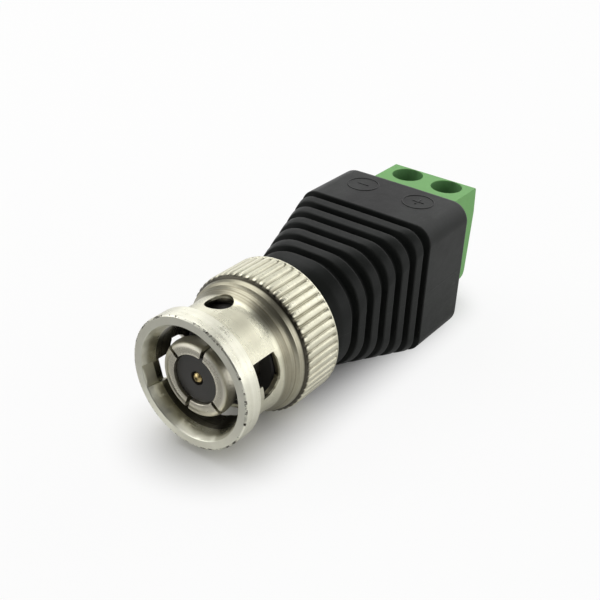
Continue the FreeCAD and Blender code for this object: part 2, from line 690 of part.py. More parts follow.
gasket_front = collar_front - D.seat_gap - D.gasket_length
piece("front_gasket", turned("gasket_body", [
    (D.crown_waist + D.seat_gap, gasket_front),
    (D.gasket_radius - 0.15, gasket_front),
    (D.gasket_radius, gasket_front + 0.15),
    (D.gasket_radius, collar_front - D.seat_gap),
    (D.crown_waist + D.seat_gap, collar_front - D.seat_gap),
]))

# Contacts
crown = turned("crown_body", [
    (D.crown_bore, D.crown_start + 0.05),
    (D.crown_bore + 0.05, D.crown_start),
    (D.crown_face, D.crown_start),
    (D.crown_face + 0.21, D.crown_start + 0.09),
    (D.crown_radius - 0.06, D.crown_start + 0.36),
    (D.crown_radius, D.crown_start + 0.71),
    (D.crown_radius - 0.04, D.crown_start + 1.11),
    (D.crown_waist, D.crown_start + 1.9),
    (D.crown_waist, D.crown_end),
    (D.crown_bore, D.crown_end),
])
slits = []
for name, angle in (("one", D.slit_one), ("two", D.slit_two)):
    slits.append(box("slit_" + name, (D.crown_radius * -1.3, D.crown_radius * 1.3),
                     (D.crown_start - 0.5, D.slit_end),
                     (-D.slit_width / 2, D.slit_width / 2), rotation=angle))
piece("outer_contact", cut("crown_finished", crown, slits))

piece("front_insulator", turned("front_insulator_body", [
    (D.pin_bore + 0.12, D.disc_start),
    (D.disc_radius - 0.03, D.disc_start),
    (D.disc_radius, D.disc_start + 0.03),
    (D.disc_radius, D.insulator_end),
    (D.pin_bore, D.insulator_end),
    (D.pin_bore, D.disc_start + 0.6),
    (D.pin_bore + 0.12, D.disc_start + 0.6),
]))

piece("centre_contact", turned("centre_contact_body", [
    (Q(0), D.pin_start),
    (D.pin_radius * 0.35, D.pin_start + 0.03),
    (D.pin_radius * 0.68, D.pin_start + 0.13),
    (D.pin_radius * 0.92, D.pin_start + 0.3),
    (D.pin_radius, D.pin_start + 0.5),
    (D.pin_radius, D.insulator_end + D.seat_gap),
    (D.pin_shoulder, D.insulator_end + D.seat_gap),
    (D.pin_shoulder, D.shoulder_end),
    (D.tail_radius, D.shoulder_end),
    (D.tail_radius, D.pin_end),
    (D.cup_radius, D.pin_end),
    (D.cup_radius, D.pin_end - D.cup_depth),
    (Q(0), D.pin_end - D.cup_depth),
]))

piece("rear_insulator", turned("rear_insulator_body", [
    (D.pin_shoulder + D.seat_gap, D.insulator_end + D.seat_gap),
    (D.shell_bore - D.seat_gap, D.insulator_end + D.seat_gap),
    (D.shell_bore - D.seat_gap, D.shoulder_end + D.washer_land),
    (D.tail_radius + D.seat_gap, D.shoulder_end + D.washer_land),
    (D.tail_radius + D.seat_gap, D.shoulder_end + D.seat_gap),
    (D.pin_shoulder + D.seat_gap, D.shoulder_end + D.seat_gap),
]))

groove_front = D.anchor_start + D.anchor_land
groove_rear = groove_front + D.anchor_flat + 2 * D.anchor_slope
shell = turned("plug_shell_body", [
    (D.crown_waist + D.seat_gap, collar_front),
    (D.collar_radius - 0.1, collar_front),
    (D.collar_radius, collar_front + 0.1),
    (D.collar_radius, collar_rear),
    (D.barrel_radius, collar_rear),
    (D.barrel_radius, D.anchor_start),
    (D.anchor_radius, D.anchor_start),
    (D.anchor_radius, groove_front),
    (D.anchor_radius - D.anchor_depth, groove_front + D.anchor_slope),
    (D.anchor_radius - D.anchor_depth, groove_rear - D.anchor_slope),
    (D.anchor_radius, groove_rear),
    (D.anchor_radius, D.shell_end),
    (D.shell_bore, D.shell_end),
    (D.shell_bore, D.insulator_end),
    (D.crown_bore, D.insulator_end),
    (D.crown_bore, D.crown_end + D.seat_gap),
    (D.crown_waist + D.seat_gap, D.crown_end + D.seat_gap),
])
piece("plug_shell", shell)

# Moulded housing
W, H = D.block_half_width, D.block_half_height
front_outer = rounded_section("ring_section", D.ring_radius, D.ring_radius,
                              D.ring_radius - 0.05, D.ring_start)
rear_outer = rounded_section("block_section", W, H, D.block_corner, D.block_start)
front_core = rounded_section("core_front", D.ring_radius - D.rib_depth,
                             D.ring_radius - D.rib_depth,
                             D.ring_radius - D.rib_depth - 0.05, D.ring_start)
rear_core = rounded_section("core_rear", W - D.rib_depth, H - D.rib_depth,
                            D.block_corner - 0.4, D.block_start + 0.2)
ribs_full = loft("ribs_full", [front_outer, rear_outer])
core_loft = loft("core_loft", [front_core, rear_core])
slabs = []
for k in range(int(D.rib_number.value)):
    rear = D.block_start - k * D.rib_pitch
    slabs.append(box("rib_gap_%d" % k, (-W - 1, W + 1), (rear - D.rib_gap, rear),
                     (-H - 1, H + 1)))
rings = cut("rings", ribs_full, slabs)
block_sketch = rounded_section("block_profile", W, H, D.block_corner, D.block_start)
block = extrusion("block", block_sketch, V(0, 1, 0), D.block_length - D.block_edge)
edge_a = rounded_section("edge_front", W, H, D.block_corner, D.block_end - D.block_edge)
edge_b = rounded_section("edge_rear", W - D.block_edge, H - D.block_edge,
                         D.block_corner - D.block_edge, D.block_end)
block_edge = loft("block_edge", [edge_a, edge_b])

boss = turned("boss_body", [
    (Q(0), D.boss_start),
    (D.boss_radius - 0.15, D.boss_start),
    (D.boss_radius, D.boss_start + 0.15),
    (D.boss_radius, D.ring_start - D.boss_slope),
    (D.ring_radius - 0.1, D.ring_start + 0.1),
    (Q(0), D.ring_start + 0.1),
])

marks = []
top = H
for name, side in (("minus", -1), ("plus", 1)):
    x = D.mark_offset * side
    outer = rod(name + "_disc", D.mark_radius, D.mark_height + 0.3,
                (x, D.mark_axial, top - 0.3))
    inner = rod(name + "_disc_inner", D.mark_radius - D.mark_line, D.mark_height + 0.5,
                (x, D.mark_axial, top - 0.4))
    marks.append(cut(name + "_circle", outer, [inner]))
    marks.append(box(name + "_bar", (x - D.mark_arm, x + D.mark_arm),
                     (D.mark_axial - D.mark_line / 2, D.mark_axial + D.mark_line / 2),
                     (top - 0.3, top + D.mark_height)))
    if side > 0:
        marks.append(box(name + "_post",
                         (x - D.mark_line / 2, x + D.mark_line / 2),
                         (D.mark_axial - D.mark_arm, D.mark_axial + D.mark_arm),
                         (top - 0.3, top + D.mark_height)))

outside = fuse("housing_outside", [core_loft, rings, block, block_edge, boss] + marks)
gap = D.seat_gap
hollow = turned("hollow_body", [
    (Q(0), D.boss_start - 0.5),
    (D.barrel_radius + gap, D.boss_start - 0.5),
    (D.barrel_radius + gap, D.anchor_start - gap),
    (D.anchor_radius + gap, D.anchor_start - gap),
    (D.anchor_radius + gap, groove_front),
    (D.anchor_radius - D.anchor_depth + gap, groove_front + D.anchor_slope),
    (D.anchor_radius - D.anchor_depth + gap, groove_rear - D.anchor_slope),
    (D.anchor_radius + gap, groove_rear),
    (D.anchor_radius + gap, D.shell_end + gap),
    (D.anchor_radius - D.ledge_width, D.shell_end + gap),
    (D.anchor_radius - D.ledge_width, D.term_front - D.strap_lap),
    (Q(0), D.term_front - D.strap_lap),
])
g = D.pocket_gap
T = D.term_half_width
m = D.throat_margin
throat = box("pocket_throat", (-T + m, T - m),
             (D.term_front - D.throat_depth, D.term_front + 1),
             (-D.term_bottom + m, D.term_top - m))
pocket = box("pocket", (-T - g, T + g), (D.term_front - g, D.block_end + 1),
             (-D.term_bottom - g, D.term_top + g))
strap_side = -(D.pole_pitch / 2) - D.solder_pin / 2 - D.seat_gap
strap_way = box("strap_way",
                (strap_side - D.strap_thick - D.strap_room,
                 strap_side - D.strap_thick + D.strap_foot + D.strap_room),
                (D.shell_end, D.term_front),
                (-D.solder_drop - D.solder_pin / 2 - D.strap_room,
                 -D.solder_drop + D.solder_pin / 2 + D.strap_room))
piece("housing", cut("housing_finished", outside, [hollow, throat, pocket, strap_way]))

# Terminal block
side = free_sketch("terminal_side", FreeCAD.Placement(V(0, 0, 0), SIDE))
polygon(side, [
    (D.term_front, -D.term_bottom),
    (D.term_rear_low - 0.75, -D.term_bottom),
    (D.term_rear_low - 0.25, -D.term_bottom + 0.22),
    (D.term_rear_low, -D.term_bottom + 0.75),
    (D.term_rear_mid, D.term_step),
    (D.term_rear_top, D.term_top - 0.18),
    (D.term_rear_top - 0.18, D.term_top),
    (D.term_front, D.term_top),
])
solid = extrusion("terminal_solid", side, V(1, 0, 0), T * 2, symmetric=True)
key = box("side_key", (-T - D.key_height, -T + 0.2),
          (D.key_axial, D.key_axial + D.key_width),
          (-D.term_bottom + D.key_margin, D.term_top - D.key_margin))
tools = [box("side_channel", (T - D.key_height - 0.05, T + 1),
             (D.key_axial - 0.05, D.key_axial + D.key_width + 0.05),
             (-D.term_bottom + D.key_margin - 0.1, D.term_top - D.key_margin + 0.1))]
cg = D.cage_gap
for name, sgn in (("minus", -1), ("plus", 1)):
    x = D.pole_pitch / 2 * sgn
    y = D.screw_axial
    tools.append(rod("screw_way_" + name, D.screw_hole, D.term_top, (x, y, D.head_seat)))
    tools.append(box("cage_way_" + name,
                     (x - D.cage_half_width - cg, x + D.cage_half_width + cg),
                     (y - D.cage_half_depth - cg, y + D.cage_half_depth + 0.05),
                     (-D.cage_floor - D.cage_wall - 0.05, D.head_seat)))
    tools.append(box("wire_way_" + name,
                     (x - D.wire_half_width, x + D.wire_half_width),
                     (D.wire_stop, D.term_rear_mid + 1),
                     (-D.cage_floor - 0.3, -D.wire_sill)))
    tools.append(box("bar_way_" + name,
                     (x - D.bar_half_width - 0.02, x + D.bar_half_width + 0.02),
                     (D.bar_front - 0.02, D.bar_rear + 0.02),
                     (-D.bar_top - D.bar_thick - 0.02, -D.bar_top + 0.02)))
    tools.append(box("leg_way_" + name,
                     (x - D.solder_pin / 2 - 0.02, x + D.solder_pin / 2 + 0.02),
                     (D.term_front - 1, D.bar_front + D.solder_pin + 0.02),
                     (-D.solder_drop - D.solder_pin / 2 - 0.02, -D.bar_top + 0.02)))
terminal = cut("terminal_finished", fuse("terminal_outside", [solid, key]), tools)
piece("terminal_block", terminal)

for name, sgn in (("minus", -1), ("plus", 1)):
    x = D.pole_pitch / 2 * sgn
    y = D.screw_axial
    # current bar with its leg and solder pin
    bar = box("bar_plate_" + name, (x - D.bar_half_width, x + D.bar_half_width),
              (D.bar_front, D.bar_rear), (-D.bar_top - D.bar_thick, -D.bar_top))
    leg = box("bar_leg_" + name, (x - D.solder_pin / 2, x + D.solder_pin / 2),
              (D.bar_front, D.bar_front + D.solder_pin),
              (-D.solder_drop - D.solder_pin / 2, -D.bar_top - 0.1))
    tail = box("bar_tail_" + name, (x - D.solder_pin / 2, x + D.solder_pin / 2),
               (D.solder_front, D.bar_front + D.solder_pin),
               (-D.solder_drop - D.solder_pin / 2, -D.solder_drop + D.solder_pin / 2))
    piece("current_bar_" + name, fuse("bar_" + name, [bar, leg, tail]))
    # clamp cage: open front and rear, threaded on top
    w, d = D.cage_half_width, D.cage_half_depth
    outer = box("cage_outer_" + name, (x - w, x + w), (y - d, y + d),
                (-D.cage_floor - D.cage_wall, D.cage_top))
    inner = box("cage_inner_" + name, (x - w + D.cage_wall, x + w - D.cage_wall),
                (y - d - 1, y + d + 1), (-D.cage_floor, D.cage_top - D.cage_crown))
    thread = rod("cage_thread_" + name, D.shank_radius + D.thread_gap, D.cage_crown + 1,
                 (x, y, D.cage_top - D.cage_crown - 0.5))
    piece("clamp_cage_" + name, cut("cage_" + name, outer, [inner, thread]))
    # clamp screw
    shank = rod("shank_" + name, D.shank_radius, D.head_seat + 0.1 + D.bar_top - 0.02,
                (x, y, -D.bar_top + 0.02))
    head = rod("head_" + name, D.head_radius, D.head_height, (x, y, D.head_seat))
    slot = box("drive_" + name, (x - 3, x + 3),
               (y - D.drive_slot / 2, y + D.drive_slot / 2),
               (D.head_seat + D.head_height - D.drive_depth, D.head_seat + D.head_height + 1))
    piece("clamp_screw_" + name,
          cut("screw_" + name, fuse("screw_blank_" + name, [shank, head]), [slot]))

# Links
strap = free_sketch("strap_plan", FreeCAD.Placement(V(0, 0, 0), FreeCAD.Rotation()))
strap_front = D.shell_end + gap
strap_rear = D.solder_front + D.strap_lap
st = D.strap_thick
polygon(strap, [
    (strap_side - st, strap_front),
    (strap_side - st + D.strap_foot, strap_front),
    (strap_side - st + D.strap_foot, strap_front + st),
    (strap_side, strap_front + st),
    (strap_side, strap_rear),
    (strap_side - st, strap_rear),
])
strap_solid = extrusion("strap_solid", strap, V(0, 0, 1), D.solder_pin)
strap_solid.Placement.Base = V(0, 0, number(-D.solder_drop - D.solder_pin / 2))
bind(strap_solid, "Placement.Base.z", -D.solder_drop - D.solder_pin / 2)
piece("earth_strap", strap_solid)


def link_wire():
    """The wire from the solder cup to the positive solder pin."""
    r = number(D.link_radius)
    x = number(D.pole_pitch) / 2
    z = -number(D.solder_drop) + number(D.solder_pin) / 2 + r + number(D.seat_gap) / 2
    start = number(D.pin_end) - number(D.cup_depth) + number(D.play)
    bend = number(D.cable_bend)
    points = [V(0, start, 0), V(0, number(D.pin_end) + 0.3, 0),
              V(r, number(D.pin_end) + bend, z / 6),
              V(x - r, number(D.solder_front) - bend, z * 0.85),
              V(x, number(D.solder_front), z),
              V(x, number(D.solder_front) + bend, z)]
    curve = Part.BSplineCurve()
    curve.interpolate(points, InitialTangent=V(0, 1, 0), FinalTangent=V(0, 1, 0))
    spine = Part.Wire([curve.toShape()])
    circle = Part.Wire([Part.Circle(points[0], V(0, 1, 0), r).toShape()])
    return spine.makePipeShell([circle], True, False)


link = doc.addObject("Part::Feature", "link_body")
link.Shape = link_wire()
piece("centre_link", link)

# Output
doc.recompute()
for obj in doc.Objects:
    if obj.State and "Invalid" in obj.State:
        raise RuntimeError("%s: %s" % (obj.Name, obj.State))
    shape = getattr(obj, "Shape", None)
    if shape is not None and not shape.isNull() and not shape.isValid():
        raise RuntimeError("%s: shape is not valid" % obj.Name)

os.makedirs("parts", exist_ok=True)
for item in PIECES:
    solids = item.Shape.Solids
    if len(solids) != 1:
        raise RuntimeError("%s: %d solids" % (item.Label, len(solids)))
    item.Shape.exportStep("parts/%s.step" % item.Label)
    b = item.Shape.BoundBox
    print("%-22s %9.3f mm3  y %.2f..%.2f" % (item.Label, item.Shape.Volume, b.YMin, b.YMax))
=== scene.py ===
"""Studio picture of a bayonet cable plug with a two-pole screw terminal."""
import math

import bmesh
import bpy
from mathutils import Matrix, Vector


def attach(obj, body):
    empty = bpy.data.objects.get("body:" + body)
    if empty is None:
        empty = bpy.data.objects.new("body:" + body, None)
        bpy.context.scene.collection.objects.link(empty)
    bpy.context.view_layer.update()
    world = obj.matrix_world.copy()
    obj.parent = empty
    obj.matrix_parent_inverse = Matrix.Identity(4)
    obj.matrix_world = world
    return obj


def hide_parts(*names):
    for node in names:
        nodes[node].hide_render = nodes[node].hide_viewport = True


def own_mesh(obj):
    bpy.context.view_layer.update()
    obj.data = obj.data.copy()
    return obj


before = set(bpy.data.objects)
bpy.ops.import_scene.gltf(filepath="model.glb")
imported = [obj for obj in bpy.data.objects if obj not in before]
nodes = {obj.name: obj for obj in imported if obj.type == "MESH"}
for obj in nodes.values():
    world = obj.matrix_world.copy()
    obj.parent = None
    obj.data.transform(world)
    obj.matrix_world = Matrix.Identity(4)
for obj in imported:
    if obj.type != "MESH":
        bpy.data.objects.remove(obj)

bpy.context.view_layer.update()
MM = 0.001
SCENE = bpy.context.scene

# Sizes of the moulded housing, in millimetres
RING_START, BLOCK_START, BLOCK_END = 15.2, 27.5, 35.6
RING_HALF, BLOCK_HALF_WIDTH, BLOCK_HALF_HEIGHT = 5.9, 8.1, 7.45
RING_CORNER, BLOCK_CORNER = 5.85, 2.0
RIB_PITCH, RIB_GAP, RIB_DEPTH, RIB_NUMBER = 1.96, 0.92, 0.8, 6
POCKET_HALF_WIDTH, POCKET_TOP, POCKET_BOTTOM, POCKET_START = 5.29, 6.34, 5.04, 28.96
TOP_CROWN, TOP_POINTS, CORNER_STEPS = 0.06, 10, 14

# Places on the sleeve and the contacts for their finishes, in millimetres
RIM_RADIUS, RIM_END, CHIP_LINE = 6.63, 1.98, 0.07
MOUTH_START, MOUTH_INNER, MOUTH_OUTER = 0.1, 5.5, 6.2
BORE_START, BORE_RADIUS = 1.42, 5.66
HOLLOW_START, HOLLOW_END, HOLLOW_INNER, HOLLOW_OUTER = 6.2, 7.6, 5.87, 6.62
LEDGE_END, LEDGE_RADIUS = 8.3, 6.86
GROOVE_FLOOR, GROOVE_END, NOTCH_START, NOTCH_END = 7.07, 12.9, 8.15, 8.6
LIP_RADIUS, LIP_END, DOME_RADIUS = 3.3, 2.2, 2.85
DIMPLE_RADIUS, DIMPLE_END = 0.17, 1.25

# Places of the screws, in millimetres
SCREW_ACROSS, SCREW_ALONG, WELL_RADIUS, WELL_TOP = 2.54, 40.6, 1.82, 6.22


# Finishes
class Field:
    """A number that changes over a surface; sums and products add Math nodes."""

    def __init__(self, finish, socket):
        self.finish = finish
        self.socket = socket

    def math(self, operation, *values):
        return self.finish.math(operation, self, *values)

    def __add__(self, other):
        return self.math("ADD", other)

    def __sub__(self, other):
        return self.math("SUBTRACT", other)

    def __rsub__(self, other):
        return self.finish.math("SUBTRACT", other, self)

    def __mul__(self, other):
        return self.math("MULTIPLY", other)

    def __truediv__(self, other):
        return self.math("DIVIDE", other)

    def __pow__(self, other):
        return self.math("POWER", other)

    __radd__ = __add__
    __rmul__ = __mul__

    def least(self, other):
        return self.math("MINIMUM", other)

    def most(self, other):
        return self.math("MAXIMUM", other)

    def size(self):
        return self.math("ABSOLUTE")

    def clip(self):
        return self.most(0.0).least(1.0)

    def over(self, edge, soft):
        """0 below the edge and 1 above it, with a soft step."""
        return self.finish.step(self, edge - soft, edge + soft)

    def under(self, edge, soft):
        return 1 - self.over(edge, soft)

    def between(self, low, high, soft):
        return self.over(low, soft) * self.under(high, soft)


class Material:
    """A node tree in which each node comes from one method."""

    def __init__(self, name):
        self.material = bpy.data.materials.new(name)
        self.material.use_nodes = True
        self.tree = self.material.node_tree
        self.tree.nodes.clear()

    def node(self, kind, settings=None, sockets=None):
        """A node of that type: its settings first, then its sockets."""
        made = self.tree.nodes.new(kind)
        for name, value in (settings or {}).items():
            setattr(made, name, value)
        for name, value in (sockets or {}).items():
            self.feed(made.inputs[name], value)
        return made

    def feed(self, socket, value):
        if isinstance(value, Field):
            value = value.socket
        if isinstance(value, bpy.types.NodeSocket):
            self.tree.links.new(value, socket)
        elif isinstance(value, tuple) and socket.type == "RGBA":
            socket.default_value = (*value, 1)
        else:
            socket.default_value = value

    def math(self, operation, *values):
        made = self.node("ShaderNodeMath", {"operation": operation},
                         dict(enumerate(values)))
        return Field(self, made.outputs[0])

    def step(self, value, low, high):
        made = self.node("ShaderNodeMapRange", {"interpolation_type": "SMOOTHSTEP"},
                         {"Value": value, "From Min": low, "From Max": high})
        return Field(self, made.outputs[0])

    def surface(self, shader):
        self.node("ShaderNodeOutputMaterial", {}, {"Surface": shader.outputs[0]})

    def on(self, *objects):
        for item in objects:
            item.data.materials.clear()
            item.data.materials.append(self.material)


class Finish(Material):
    """One Principled shader and the fields that feed it, in millimetres."""

    def __init__(self, name, **uniform):
        super().__init__(name)
        self.shader = self.node("ShaderNodeBsdfPrincipled")
        for socket, value in uniform.items():
            self.shader.inputs[socket.replace("_", " ")].default_value = value
        self.surface(self.shader)
        place = self.node("ShaderNodeTexCoord").outputs["Object"]
        split = self.node("ShaderNodeSeparateXYZ", {}, {"Vector": place})
        self.x, self.y, self.z = (Field(self, split.outputs[i]) / MM for i in range(3))
        self.radius = (self.x * self.x + self.z * self.z) ** 0.5
        self.angle = self.math("ARCTAN2", self.z, self.x)
        self.at = self.point(self.x, self.y, self.z)

    def point(self, x, y, z):
        return self.node("ShaderNodeCombineXYZ", {}, {"X": x, "Y": y, "Z": z}).outputs[0]

    def noise(self, place, scale, detail=2.0, rough=0.5):
        """Noise from about -0.5 to 0.5."""
        made = self.node("ShaderNodeTexNoise", {},
                         {"Vector": place, "Scale": scale, "Detail": detail,
                          "Roughness": rough})
        return Field(self, made.outputs[0]) - 0.5

    def cells(self, place, scale):
        """Distance to the nearest of scattered points, in cell widths."""
        made = self.node("ShaderNodeTexVoronoi", {}, {"Vector": place, "Scale": scale})
        return Field(self, made.outputs["Distance"])

    def tint(self, amount, plain, other):
        """A colour that goes from plain to other as amount goes from 0 to 1."""
        made = self.node("ShaderNodeMix", {"data_type": "RGBA"},
                         {0: amount, 6: plain, 7: other})
        return made.outputs[2]

    def relief(self, height, depth):
        """Bump on top of what is there; depth is in millimetres."""
        before = self.shader.inputs["Normal"]
        made = self.node("ShaderNodeBump", {}, {"Height": height, "Strength": 1.0,
                                                "Distance": depth * MM})
        if before.is_linked:
            self.tree.links.new(before.links[0].from_socket, made.inputs["Normal"])
        self.tree.links.new(made.outputs[0], before)

    def look(self, **fields):
        for socket, value in fields.items():
            self.feed(self.shader.inputs[socket.replace("_", " ")], value)


def screen(red, green, blue):
    """A colour given as 0 to 255 on the screen."""
    def one(c):
        c /= 255
        return c / 12.92 if c <= 0.04045 else ((c + 0.055) / 1.055) ** 2.4
    return one(red), one(green), one(blue)


def turned_nickel(name):
    """Plated and turned metal: fine rings, faint stains and pits."""
    coat = Finish(name, Metallic=1.0)
    rings = coat.noise(coat.point(coat.radius, coat.y, coat.angle * 0.02), 9.0, 3.0, 0.65)
    fine = coat.noise(coat.point(coat.radius, coat.y, coat.angle * 0.05), 34.0, 2.0)
    cloud = coat.noise(coat.at, 0.55, 3.0, 0.6)
    grain = coat.noise(coat.at, 6.0, 3.0, 0.6)
    pits = coat.cells(coat.at, 1.6).under(0.07, 0.03)
    stain = cloud * 0.9 + grain * 0.25 + rings * 0.35 + 0.4 + pits * 0.4
    return coat, rings, fine, cloud, grain, pits, stain


def sleeve_nickel():
    """The sleeve: chipped plating on the rim, painted shade between the knurls."""
    bright, dull = screen(228, 226, 205), screen(184, 180, 158)
    coat, rings, fine, cloud, grain, pits, stain = turned_nickel("sleeve_nickel")
    around = coat.point(coat.x, coat.z, 0.0)
    # chips where the rim meets its front face
    edge = ((coat.y - CHIP_LINE).size().under(0.10, 0.05)
            * coat.radius.over(RIM_RADIUS - 0.17, 0.03))
    chips = (coat.noise(around, 1.7, 4.0, 0.75).over(0.05, 0.04)
             + coat.noise(around, 0.5, 2.0).over(0.1, 0.1) * 0.4).clip() * edge
    # painted shade in the grooves of the grip and behind the rim, painted dark reflection in
    # the flare and on the ledge
    groove = coat.radius.under(GROOVE_FLOOR, 0.05) * coat.y.between(LEDGE_END, GROOVE_END, 0.1)
    # painted shade in the notches where the grooves begin
    notch_shade = (coat.y.between(NOTCH_START, NOTCH_END, 0.12)
             * coat.radius.under(GROOVE_FLOOR - 0.01, 0.05))
    corner = coat.y.between(RIM_END + 0.1, RIM_END + 0.24, 0.06) * coat.radius.under(6.2, 0.2)
    hollow = (coat.y.between(HOLLOW_START, HOLLOW_END, 0.2)
              * coat.radius.under(HOLLOW_OUTER, 0.05) * coat.radius.over(HOLLOW_INNER, 0.02))
    ledge = coat.y.between(HOLLOW_END, LEDGE_END, 0.08) * coat.radius.under(LEDGE_RADIUS, 0.04)
    streaks = (rings * 1.6 + fine * 0.8 + 0.5).clip()
    painted_shade = (groove * (0.45 + cloud * 0.5) + hollow * (0.45 + streaks * 0.5) + corner * 0.8
             + ledge * (0.3 + streaks * 0.4)).clip()
    # painted shade in the bore, a painted highlight on the rim, its face and its mouth, and a
    # darker line at the rim's rear edge
    bore = coat.radius.under(BORE_RADIUS, 0.02) * coat.y.over(BORE_START, 0.05)
    rim = coat.y.between(0.12, RIM_END, 0.04) * coat.radius.over(RIM_RADIUS - 0.33, 0.1)
    line = (coat.y.between(RIM_END - 0.01, RIM_END + 0.08, 0.03)
            * coat.radius.over(RIM_RADIUS - 0.13, 0.05))
    face = coat.y.under(0.14, 0.05)
    mouth = (coat.radius.between(MOUTH_INNER, MOUTH_OUTER, 0.1)
             * coat.y.between(MOUTH_START, BORE_START, 0.05))
    colour = coat.tint(stain.clip(), bright, dull)
    # painted shade and painted dark reflection, both in one darker colour
    colour = coat.tint(painted_shade, colour, screen(112, 105, 86))
    # painted highlight on the rim, its face and its mouth
    painted_sheen = rim * (0.6 + cloud * 0.9 + rings * 1.2) + (face + mouth) * (0.85 + cloud * 0.8)
    colour = coat.tint(painted_sheen.clip(), colour, screen(244, 243, 228))
    colour = coat.tint(line * 0.6, colour, screen(112, 105, 86))
    # painted shade deep in the bore
    colour = coat.tint(bore * (0.8 + cloud * 0.4), colour, screen(92, 88, 78))
    # painted shade in the notches
    colour = coat.tint(notch_shade * 0.88, colour, screen(48, 44, 38))
    colour = coat.tint(chips, colour, screen(60, 56, 48))
    coat.look(Base_Color=colour,
              Roughness=(0.29 + cloud * 0.10 + rings * 0.10 + grain * 0.06 + pits * 0.15
                         + painted_shade * 0.12 + chips * 0.3 + mouth * 0.2 + face * 0.08))
    coat.relief(rings * 1.4 + fine * 0.7, 0.007)
    coat.relief(grain * 0.4 - pits * 0.8, 0.003)
    coat.relief(0 - chips, 0.03)
    return coat


def contact_nickel():
    """The slit contact, with a painted highlight on the shoulder of its tip."""
    bright, dull = screen(226, 222, 206), screen(188, 182, 164)
    coat, rings, fine, cloud, grain, _, stain = turned_nickel("contact_nickel")
    # painted highlight on the shoulder of the fingers
    lip = coat.radius.over(LIP_RADIUS, 0.1) * coat.y.under(LIP_END, 0.5)
    colour = coat.tint(stain.clip(), bright, dull)
    coat.look(Base_Color=coat.tint(lip * 0.8, colour, screen(250, 246, 230)),
              Roughness=0.28 + cloud * 0.10 + rings * 0.08 + grain * 0.06 + lip * 0.24)
    coat.relief(rings + fine * 0.5, 0.005)
    coat.relief(grain * 0.5, 0.003)
    # the tips of the fingers are slightly domed
    coat.relief(0 - (coat.radius - DOME_RADIUS) ** 2.0, 0.5)
    return coat


def moulded_black():
    """Satin moulding with flow lines, fine grain and a faint parting line."""
    coat = Finish("moulded_black", Specular_IOR_Level=0.15)
    grain = coat.noise(coat.at, 14.0, 2.0, 0.6)
    cloud = coat.noise(coat.at, 0.35, 3.0, 0.6)
    flow = coat.noise(coat.point(coat.x * 0.6, coat.y * 0.15, coat.z * 0.6), 1.4, 2.0)
    place = coat.point(coat.x * 3, coat.y * 0.5, coat.z * 3)
    scuff = coat.noise(place, 1.2, 3.0, 0.7).over(0.16, 0.05)
    parting = coat.z.size().under(0.05, 0.03) * coat.x.size().over(5.0, 0.3)
    shade = (cloud + flow * 0.6 + grain * 0.5 + 0.5).clip()
    # painted shade: the raised marks are coloured darker than the moulding
    marks = (coat.z.over(BLOCK_HALF_HEIGHT + TOP_CROWN * 0.75 + 0.006, 0.004)
             * coat.y.over(BLOCK_START, 0.1))
    colour = coat.tint(shade, screen(23, 25, 24), screen(31, 33, 31))
    coat.look(Base_Color=coat.tint(marks, colour, screen(10, 10, 10)),
              Roughness=0.44 + cloud * 0.16 + grain * 0.10 - scuff * 0.08)
    coat.relief(grain, 0.006)
    coat.relief(flow + cloud, 0.02)
    coat.relief(parting, 0.01)
    return coat


def moulded_green():
    """Matt moulding, with painted shade inside the wells of the screws."""
    coat = Finish("moulded_green", Specular_IOR_Level=0.2)
    grain = coat.noise(coat.at, 11.0, 2.0, 0.6)
    cloud = coat.noise(coat.at, 0.5, 3.0, 0.6)
    # painted shade inside the wells of the screws
    across = (coat.x.size() - SCREW_ACROSS) ** 2.0
    along = (coat.y - SCREW_ALONG) ** 2.0
    well_shade = (((across + along) ** 0.5).under(WELL_RADIUS, 0.05)
            * coat.z.under(WELL_TOP, 0.1))
    colour = coat.tint((cloud * 0.8 + grain * 0.5 + 0.5).clip(),
                       screen(106, 163, 93), screen(125, 181, 109))
    coat.look(Base_Color=coat.tint(well_shade, colour, screen(92, 138, 86)),
              Roughness=0.54 + cloud * 0.12 + grain * 0.12)
    coat.relief(grain, 0.006)
    return coat


def grey_insulator():
    """Turned plastic with faint rings."""
    coat = Finish("grey_insulator", Specular_IOR_Level=0.5)
    rings = coat.noise(coat.point(coat.radius, coat.y, coat.angle * 0.03), 8.0, 2.0)
    grain = coat.noise(coat.at, 10.0, 2.0)
    coat.look(Base_Color=coat.tint((rings + grain + 0.5).clip(),
                                   screen(50, 49, 46), screen(64, 62, 58)),
              Roughness=0.40 + rings * 0.12 + grain * 0.08)
    coat.relief(rings, 0.004)
    return coat


def dark_rubber():
    """Matt and slightly grainy."""
    coat = Finish("dark_rubber", Specular_IOR_Level=0.4)
    grain = coat.noise(coat.at, 12.0, 3.0)
    coat.look(Base_Color=coat.tint(grain + 0.5, screen(26, 25, 24), screen(40, 38, 36)),
              Roughness=0.62 + grain * 0.2)
    coat.relief(grain, 0.008)
    return coat


def plain_metal(name, bright, dull, roughness, along=(1.0, 1.0, 1.0)):
    """Rolled or plated metal with a brushed grain along one direction."""
    coat = Finish(name, Metallic=1.0)
    place = coat.point(coat.x * along[0], coat.y * along[1], coat.z * along[2])
    brush = coat.noise(place, 6.0, 3.0, 0.65)
    cloud = coat.noise(coat.at, 1.1, 2.0)
    coat.look(Base_Color=coat.tint((brush * 0.8 + cloud * 0.8 + 0.45).clip(), bright, dull),
              Roughness=roughness + brush * 0.15 + cloud * 0.08)
    coat.relief(brush, 0.004)
    return coat


